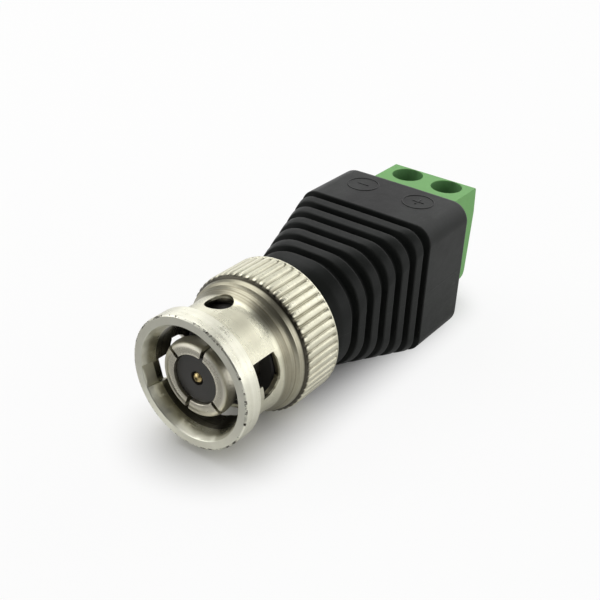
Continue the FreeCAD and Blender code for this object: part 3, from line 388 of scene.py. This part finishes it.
def gold_pin():
    """Gold plating, with painted shade in the small dimple of the pin's tip."""
    coat = Finish("gold_plate", Metallic=1.0)
    cloud = coat.noise(coat.at, 2.5, 2.0)
    # painted shade in the dimple of the tip
    dimple = coat.radius.under(DIMPLE_RADIUS, 0.08) * coat.y.under(DIMPLE_END, 0.05)
    colour = coat.tint(cloud + 0.5, screen(238, 218, 162), screen(212, 184, 122))
    coat.look(Base_Color=coat.tint(dimple * 0.9, colour, screen(48, 40, 24)),
              Roughness=0.36 + cloud * 0.1)
    coat.relief(cloud, 0.004)
    return coat


# One finish for each group of nodes
nickel = sleeve_nickel()
contact = contact_nickel()
gold = gold_pin()
steel = plain_metal("spring_steel", screen(150, 148, 142), screen(104, 101, 96), 0.35)
zinc = plain_metal("zinc_plate", screen(206, 207, 206), screen(158, 157, 154), 0.32)
brass = plain_metal("tinned_brass", screen(208, 204, 192), screen(166, 160, 146), 0.30,
                    (3.0, 0.3, 3.0))
black = moulded_black()
green = moulded_green()
grey = grey_insulator()
rubber = dark_rubber()

for finish, names in (
        (nickel, ("coupling_sleeve", "plug_shell")),
        (contact, ("outer_contact",)),
        (gold, ("centre_contact",)),
        (steel, ("thrust_washer", "retaining_ring", "wave_washer")),
        (zinc, ("clamp_cage_minus", "clamp_cage_plus", "clamp_screw_minus",
                "clamp_screw_plus")),
        (brass, ("current_bar_minus", "current_bar_plus", "earth_strap", "centre_link")),
        (black, ("housing",)),
        (green, ("terminal_block",)),
        (grey, ("front_insulator", "rear_insulator")),
        (rubber, ("front_gasket",))):
    finish.on(*(nodes[name] for name in names))


# Mesh helpers
def smooth_by_area(item):
    """Large flat faces keep their own direction, narrow ones turn."""
    weights = item.modifiers.new("weights", "WEIGHTED_NORMAL")
    weights.weight = 100
    weights.keep_sharp = False
    return item


def skin(name, rings, front=False, rear=False, joined=False):
    """A skin over closed rings of points, in millimetres."""
    mesh = bpy.data.meshes.new(name)
    work = bmesh.new()
    rows = [[work.verts.new(Vector(point) * MM) for point in ring] for ring in rings]
    count = len(rings[0])
    following = rows[1:] + rows[:1] if joined else rows[1:]
    for low, high in zip(rows, following):
        for i in range(count):
            j = (i + 1) % count
            work.faces.new((low[i], low[j], high[j], high[i]))
    if front:
        work.faces.new(rows[0])
    if rear:
        work.faces.new(rows[-1])
    bmesh.ops.recalc_face_normals(work, faces=work.faces)
    for face in work.faces:
        face.smooth = True
    work.to_mesh(mesh)
    work.free()
    item = bpy.data.objects.new(name, mesh)
    SCENE.collection.objects.link(item)
    return smooth_by_area(item)


def crown_at(x):
    """How far the moulding's top rises over its edges."""
    return TOP_CROWN * (1 - (x / BLOCK_HALF_WIDTH) ** 2)


def section(y, half_width, top, bottom, corner):
    """A rounded rectangle across the plug; top and bottom are from the axis."""
    points = []
    flat = half_width - corner
    for start, cx, cz in ((0, flat, top - corner), (90, -flat, top - corner),
                          (180, -flat, corner - bottom), (270, flat, corner - bottom)):
        for step in range(CORNER_STEPS + 1):
            a = math.radians(start + 90 * step / CORNER_STEPS)
            points.append((cx + corner * math.cos(a), y, cz + corner * math.sin(a)))
        if start == 0:
            points += [(flat * (1 - 2 * k / TOP_POINTS), y, top)
                       for k in range(1, TOP_POINTS)]
    return points


def soften(name, width):
    """Breaks the sharp edges of a carried solid by a bevel of that width."""
    item = nodes[name]
    weld = item.modifiers.new("weld", "WELD")
    weld.merge_threshold = 1e-6
    merge = item.modifiers.new("flats", "DECIMATE")
    merge.decimate_type = "DISSOLVE"
    merge.angle_limit = math.radians(1.5)
    edge = item.modifiers.new("edges", "BEVEL")
    edge.width = width * MM
    edge.segments = 2
    edge.limit_method = "ANGLE"
    edge.angle_limit = math.radians(30)
    smooth_by_area(item)


# Moulded housing
def body_section(y, inset):
    """The outline of the housing at y, moved in by the inset."""
    t = min(max((y - RING_START) / (BLOCK_START - RING_START), 0), 1)
    width = RING_HALF + (BLOCK_HALF_WIDTH - RING_HALF) * t - inset
    height = RING_HALF + (BLOCK_HALF_HEIGHT - RING_HALF) * t - inset
    corner = RING_CORNER + (BLOCK_CORNER - RING_CORNER) * t - inset * 0.6
    return section(y, width, height, height, min(corner, height - 0.02))


def round_section(y, radius):
    """A circle across the plug, with as many points as the other sections."""
    return section(y, radius, radius, radius, radius - 0.02)


def crowned(rings):
    """Lifts the top of each ring a little towards its middle."""
    lifted = []
    for ring in rings:
        share = min(max((ring[0][1] - RING_START) / (BLOCK_START - RING_START), 0), 1)
        lifted.append([(x, y, z + (crown_at(x) * share if z > 0 else 0) * z / BLOCK_HALF_HEIGHT)
                       for x, y, z in ring])
    return lifted


# the round boss inside the sleeve and its slope up to the first ring: (y, radius)
BOSS = ((11.1, 4.42), (11.1, 4.95), (11.15, 5.08), (11.3, 5.15), (13.5, 5.15),
        (13.95, 5.17), (14.3, 5.24), (14.6, 5.36), (14.85, 5.5), (15.05, 5.64),
        (15.25, 5.76))
rings = [round_section(y, radius) for y, radius in BOSS]
rings += [body_section(15.5, 0.06), body_section(15.8, 0.01)]
# the rounded lip, wall and floor of a groove: (along from its front, inset)
LIP = ((-0.17, 0.0), (-0.09, 0.01), (-0.04, 0.035), (-0.01, 0.075), (0.0, 0.13),
       (0.02, 0.65), (0.05, 0.74), (0.11, 0.79), (0.21, RIB_DEPTH))
for k in range(RIB_NUMBER - 1, -1, -1):
    groove_rear = BLOCK_START - k * RIB_PITCH
    groove_front = groove_rear - RIB_GAP
    rings += [body_section(groove_front + along, inset) for along, inset in LIP]
    rings += [body_section(groove_rear - along, inset) for along, inset in reversed(LIP)]
# the rounded rear edge: (along from the rear face, inset)
for along, inset in ((0.5, 0.0), (0.3, 0.01), (0.16, 0.05), (0.06, 0.13), (0.0, 0.28)):
    rings.append(section(BLOCK_END - along, BLOCK_HALF_WIDTH - inset,
                         BLOCK_HALF_HEIGHT - inset, BLOCK_HALF_HEIGHT - inset,
                         BLOCK_CORNER - inset * 0.6))
# the pocket of the terminal block: (along from the rear face, growth, corner)
for along, grow, corner in ((0.0, 0.3, 0.5), (0.03, 0.08, 0.3), (0.12, 0.0, 0.2),
                            (0.3, 0.0, 0.2), (BLOCK_END - POCKET_START, 0.0, 0.2)):
    rings.append(section(BLOCK_END - along, POCKET_HALF_WIDTH + grow, POCKET_TOP + grow,
                         POCKET_BOTTOM + grow, corner))
housing = skin("ribbed_housing", crowned(rings), front=True, rear=True)
black.on(housing)
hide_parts("housing")
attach(housing, "plug")

# Raised polarity marks on the top face
MARK_ACROSS, MARK_ALONG, MARK_RADIUS, MARK_ARM = 3.47, 32.5, 1.68, 0.68
MARK_HALF_WIDTH, MARK_HEIGHT, MARK_STEPS = 0.1, 0.045, 64


def ridge(points, closed, width, height):
    """A low half-round ridge on the top face along a line of points."""
    profile = [(-width, -0.03), (-width * 0.8, height * 0.45), (-width * 0.35, height * 0.92),
               (width * 0.35, height * 0.92), (width * 0.8, height * 0.45), (width, -0.03)]
    rows, last = [], len(points) - 1
    for i, (x, y) in enumerate(points):
        before = points[i - 1] if closed or i else points[i]
        after = points[(i + 1) % len(points)] if closed or i < last else points[i]
        along = Vector((after[0] - before[0], after[1] - before[1])).normalized()
        side = Vector((-along.y, along.x))
        rows.append([(x + side.x * a, y + side.y * a, BLOCK_HALF_HEIGHT + crown_at(x) + b)
                     for a, b in profile])
    return rows + rows[:1] if closed else rows


for name, sign in (("minus", -1), ("plus", 1)):
    x = MARK_ACROSS * sign
    ring = [(x + MARK_RADIUS * math.cos(math.tau * k / MARK_STEPS),
             MARK_ALONG + MARK_RADIUS * math.sin(math.tau * k / MARK_STEPS))
            for k in range(MARK_STEPS)]
    parts = [(ring, True)]
    parts.append(([(x + MARK_ARM * (k / 4 - 1), MARK_ALONG) for k in range(9)], False))
    if sign > 0:
        parts.append(([(x, MARK_ALONG + MARK_ARM * (k / 4 - 1)) for k in range(9)], False))
    for part, (points, closed) in enumerate(parts):
        rows = ridge(points, closed, MARK_HALF_WIDTH, MARK_HEIGHT)
        mark = skin("%s_mark_%d" % (name, part), rows, not closed, not closed)
        black.on(mark)
        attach(mark, "plug")

# Knurled band of the sleeve
GRIP_FRONT, GRIP_REAR, GRIP_RADIUS, KNURLS = 8.29, 13.16, 7.16, 53
KNURL_DEPTH, KNURL_HALF, KNURL_CROWN, KNURL_STEPS = 0.15, 0.15, 0.05, 16


def grip_ring(y, radius, depth):
    """One ring of the grip: narrow grooves between softly crowned ridges."""
    points = []
    for k in range(KNURLS * KNURL_STEPS):
        across = (k % KNURL_STEPS) / KNURL_STEPS
        from_groove = min(across, 1 - across)
        r = radius - depth * math.exp(-(from_groove / KNURL_HALF) ** 2)
        r -= KNURL_CROWN * (1 - 2 * from_groove) ** 2 * depth / KNURL_DEPTH
        a = math.pi / 2 + math.tau * k / KNURL_STEPS / KNURLS
        points.append((r * math.cos(a), y, r * math.sin(a)))
    return points


# rings from the front to the rear: (y, inset, share of the groove's depth)
band = [grip_ring(y, GRIP_RADIUS - inset, KNURL_DEPTH * share) for y, inset, share in (
    (GRIP_FRONT, 0.75, 0), (GRIP_FRONT, 0.33, 1.1), (GRIP_FRONT + 0.06, 0.19, 1.4),
    (GRIP_FRONT + 0.16, 0.1, 1.4), (GRIP_FRONT + 0.32, 0.045, 1.25),
    (GRIP_FRONT + 0.55, 0.015, 1.05), (GRIP_FRONT + 0.85, 0.0, 1.0),
    (GRIP_FRONT + 2.2, 0.0, 1.0), (GRIP_FRONT + 3.6, 0.0, 1.0), (GRIP_REAR - 0.5, 0.0, 1.0),
    (GRIP_REAR - 0.36, 0.0, 0.85), (GRIP_REAR - 0.26, 0.0, 0.4), (GRIP_REAR - 0.19, 0.0, 0.08),
    (GRIP_REAR - 0.15, 0.003, 0), (GRIP_REAR - 0.1, 0.02, 0), (GRIP_REAR - 0.04, 0.07, 0),
    (GRIP_REAR, 0.16, 0), (GRIP_REAR, 0.75, 0))]
grip = skin("knurled_band", band + band[:1])
nickel.on(grip)
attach(grip, "sleeve")

# Wave washer, built in its waved shape
WAVE_MIDDLE, WAVE_SWING, WAVE_THICK = 8.43, 0.4, 0.22
WAVE_INNER, WAVE_OUTER, WAVE_STEPS, WAVES = 4.5, 5.43, 144, 3


def wave_row(radius, lift):
    """One edge of the waved strip."""
    row = []
    for step in range(WAVE_STEPS):
        a = math.tau * step / WAVE_STEPS
        along = WAVE_MIDDLE + WAVE_SWING * math.cos(WAVES * a) + lift
        row.append((radius * math.cos(a), along, radius * math.sin(a)))
    return row


wave = skin("sprung_wave_washer", [
    wave_row(radius, side * WAVE_THICK / 2) for radius, side in (
        (WAVE_INNER, -1), (WAVE_OUTER, -1), (WAVE_OUTER, 1), (WAVE_INNER, 1))], joined=True)
steel.on(wave)
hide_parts("wave_washer")
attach(wave, "plug")
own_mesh(wave)

# Clamp screws
SHANK_RADIUS, SHANK_FOOT, HEAD_SEAT = 1.22, -0.08, 3.95
THREAD_PITCH, THREAD_HEIGHT = 0.5, 0.07
HEAD_RADIUS, HEAD_TOP, SLOT_HALF, SLOT_FLOOR = 1.62, 4.7, 0.26, 4.2
SCREW_STEPS, LEVELS_PER_TURN, SLOT_TURN = 48, 8, 24


def screw_row(z, radius, thread):
    """A ring of points around the screw's axis; the thread winds up as z grows."""
    points = []
    for k in range(SCREW_STEPS):
        turn = k / SCREW_STEPS
        phase = (z / THREAD_PITCH - turn) % 1
        r = radius + thread * (1 - abs(2 * phase - 1))
        points.append((r * math.cos(math.tau * turn), r * math.sin(math.tau * turn), z))
    return points


levels = int((HEAD_SEAT - SHANK_FOOT) / THREAD_PITCH * LEVELS_PER_TURN)
screw_rings = [screw_row(SHANK_FOOT, SHANK_RADIUS - 0.12, 0.0)]
screw_rings += [screw_row(SHANK_FOOT + 0.08 + (HEAD_SEAT - SHANK_FOOT - 0.1) * k / levels,
                          SHANK_RADIUS - 0.03, THREAD_HEIGHT) for k in range(levels + 1)]
for z, radius in ((HEAD_SEAT, SHANK_RADIUS), (HEAD_SEAT, HEAD_RADIUS - 0.06),
                  (HEAD_SEAT + 0.05, HEAD_RADIUS), (HEAD_TOP - 0.14, HEAD_RADIUS),
                  (HEAD_TOP - 0.05, HEAD_RADIUS - 0.05), (HEAD_TOP, HEAD_RADIUS - 0.16)):
    screw_rings.append(screw_row(z, radius, 0.0))


def slotted(item, x, y):
    """Cuts the driver's slot across the head, a little off the plug's line."""
    corners = []
    for low in (SLOT_FLOOR, HEAD_TOP + 1):
        for across, along in ((-3, -1), (3, -1), (3, 1), (-3, 1)):
            corners.append(Vector((across, along * SLOT_HALF, low)))
    turn = Matrix.Rotation(math.radians(SLOT_TURN), 3, "Z")
    mesh = bpy.data.meshes.new("driver_slot")
    mesh.from_pydata([(turn @ c + Vector((x, y, 0))) * MM for c in corners], [],
                     [(3, 2, 1, 0), (4, 5, 6, 7), (0, 1, 5, 4), (1, 2, 6, 5),
                      (2, 3, 7, 6), (3, 0, 4, 7)])
    cutter = bpy.data.objects.new("driver_slot", mesh)
    SCENE.collection.objects.link(cutter)
    cutting = item.modifiers.new("slot", "BOOLEAN")
    cutting.operation, cutting.solver, cutting.object = "DIFFERENCE", "EXACT", cutter
    cut = bpy.data.meshes.new_from_object(item.evaluated_get(
        bpy.context.evaluated_depsgraph_get()))
    item.modifiers.clear()
    item.data = cut
    bpy.data.objects.remove(cutter)


for name, sign in (("minus", -1), ("plus", 1)):
    x, y = SCREW_ACROSS * sign, SCREW_ALONG
    rings = [[(px + x, py + y, pz) for px, py, pz in ring] for ring in screw_rings]
    screw = skin("slotted_screw_" + name, rings, True, True)
    bpy.context.view_layer.update()
    slotted(screw, x, y)
    smooth_by_area(screw)
    zinc.on(screw)
    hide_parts("clamp_screw_" + name)
    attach(screw, "screw_" + name)

# Broken edges of the carried solids
for name, width in (("coupling_sleeve", 0.05), ("outer_contact", 0.04),
                    ("centre_contact", 0.03), ("terminal_block", 0.13),
                    ("clamp_cage_minus", 0.1), ("clamp_cage_plus", 0.1),
                    ("current_bar_minus", 0.08), ("current_bar_plus", 0.08)):
    soften(name, width)


# Floor and lights
def flat(name, corners):
    """A four-cornered sheet that isn't part of the object."""
    mesh = bpy.data.meshes.new(name)
    mesh.from_pydata(corners, [], [(0, 1, 2, 3)])
    item = bpy.data.objects.new(name, mesh)
    SCENE.collection.objects.link(item)
    return item


FLOOR, FLOOR_HALF = -7.47 * MM, 3
SHADE_MIDDLE, SHADE_HALF, SHADE_EDGE, SHADE_SOFT = 20, 17, 6.2, 4.2
SEEN_GLOW, REFLECTED_GLOW = 0.9, 0.3
floor = flat("floor", [(x * FLOOR_HALF, y * FLOOR_HALF, FLOOR)
                       for x, y in ((-1, -1), (1, -1), (1, 1), (-1, 1))])
paper = Material("pale_paper")
path = paper.node("ShaderNodeLightPath").outputs
place = paper.node("ShaderNodeTexCoord").outputs["Object"]
split = paper.node("ShaderNodeSeparateXYZ", {}, {"Vector": place})
beside, along = (Field(paper, split.outputs[i]) / MM for i in range(2))
past_ends = ((along - SHADE_MIDDLE).size() - SHADE_HALF).most(0.0)
from_line = ((beside ** 2.0) + past_ends ** 2.0) ** 0.5
away = from_line.over(SHADE_EDGE, SHADE_SOFT)
clear = Field(paper, path["Is Camera Ray"]) * SEEN_GLOW
clear = clear.most(Field(paper, path["Is Glossy Ray"]) * REFLECTED_GLOW)
clear = clear.most(Field(paper, path["Is Transmission Ray"]) * REFLECTED_GLOW) * away
sheet = paper.node("ShaderNodeBsdfDiffuse", {}, {"Color": (0.82, 0.82, 0.81)})
glow = paper.node("ShaderNodeEmission", {}, {"Color": (1.0, 1.0, 1.0), "Strength": 1.0})
paper.surface(paper.node("ShaderNodeMixShader", {},
                         {0: clear, 1: sheet.outputs[0], 2: glow.outputs[0]}))
paper.on(floor)


def card(name, corners, brightness):
    """A card that only the gloss of the pieces shows."""
    item = flat(name, corners)
    cloth = Material(name + "_cloth")
    cloth.surface(cloth.node("ShaderNodeEmission", {},
                             {"Color": (1.0, 1.0, 1.0), "Strength": brightness}))
    cloth.on(item)
    item.visible_camera = item.visible_diffuse = item.visible_shadow = False
    item.visible_transmission = False


LOW = FLOOR + 0.05 * MM
card("front_card", [(-0.12, -0.45, FLOOR), (0.9, -0.45, FLOOR),
                    (0.9, -0.45, 0.5), (-0.12, -0.45, 0.5)], 0.05)
card("left_card", [(-0.7, -0.45, FLOOR), (-0.12, -0.45, FLOOR),
                   (-0.12, -0.45, 0.35), (-0.7, -0.45, 0.35)], 1.2)
card("low_card", [(-0.3, -0.3, LOW), (0.03, -0.3, LOW),
                  (0.03, -0.004, LOW), (-0.3, -0.004, LOW)], 0.38)
card("ceiling_card", [(-0.05, -0.45, 0.5), (0.9, -0.45, 0.5),
                      (0.9, 0.45, 0.5), (-0.05, 0.45, 0.5)], 0.07)
card("back_card", [(-0.9, 0.6, FLOOR), (0.9, 0.6, FLOOR),
                   (0.9, 0.6, 0.42), (-0.9, 0.6, 0.42)], 1.4)

ROOM_LEVEL = 0.36
world = bpy.data.worlds.new("studio")
SCENE.world = world
world.use_nodes = True
world.node_tree.nodes["Background"].inputs["Color"].default_value = (1, 1, 1, 1)
world.node_tree.nodes["Background"].inputs["Strength"].default_value = ROOM_LEVEL


def softbox(name, place, aim, width, height, power):
    """A soft lamp that faces the point it aims at."""
    lamp = bpy.data.lights.new(name, "AREA")
    lamp.shape = "RECTANGLE"
    lamp.size, lamp.size_y, lamp.energy = width, height, power
    item = bpy.data.objects.new(name, lamp)
    SCENE.collection.objects.link(item)
    item.location = place
    item.rotation_mode = "QUATERNION"
    item.rotation_quaternion = (Vector(aim) - Vector(place)).to_track_quat("-Z", "Y")


CENTRE = (0, 20 * MM, 0)
softbox("top_box", (-0.14, 0.06, 0.27), CENTRE, 0.26, 0.26, 0.45)
softbox("back_box", (0.05, 0.34, 0.20), CENTRE, 0.34, 0.22, 0.35)
softbox("left_box", (-0.26, -0.10, 0.14), CENTRE, 0.20, 0.20, 0.18)
softbox("right_box", (0.30, 0.06, 0.12), CENTRE, 0.22, 0.22, 0.26)

# Camera
AZIMUTH, ELEVATION, ROLL = (math.radians(a) for a in (34.52, 30.49, 2.97))
PICTURE, FOCAL, MIDDLE_ACROSS, MIDDLE_DOWN = 600, 989.46, 307.92, 305.11
SENSOR, DISTANCE, AIM_ALONG = 36.0, 0.1, 18 * MM
back = Vector((math.sin(AZIMUTH) * math.cos(ELEVATION),
               -math.cos(AZIMUTH) * math.cos(ELEVATION), math.sin(ELEVATION)))
right = Vector((math.cos(AZIMUTH), math.sin(AZIMUTH), 0))
up = back.cross(right)
right, up = (right * math.cos(ROLL) + up * math.sin(ROLL),
             up * math.cos(ROLL) - right * math.sin(ROLL))
lens = bpy.data.cameras.new("camera")
lens.sensor_width = SENSOR
lens.lens = FOCAL / PICTURE * SENSOR
lens.shift_x = (PICTURE / 2 - MIDDLE_ACROSS) / PICTURE
lens.shift_y = (MIDDLE_DOWN - PICTURE / 2) / PICTURE
lens.clip_start, lens.clip_end = 0.005, 10
camera = bpy.data.objects.new("camera", lens)
SCENE.collection.objects.link(camera)
place = Vector((0, AIM_ALONG, 0)) + back * DISTANCE
camera.matrix_world = Matrix(((right.x, up.x, back.x, place.x),
                              (right.y, up.y, back.y, place.y),
                              (right.z, up.z, back.z, place.z),
                              (0, 0, 0, 1)))
SCENE.camera = camera
SCENE.view_settings.view_transform = "Standard"

# Brings the scene up to date
bpy.context.view_layer.update()
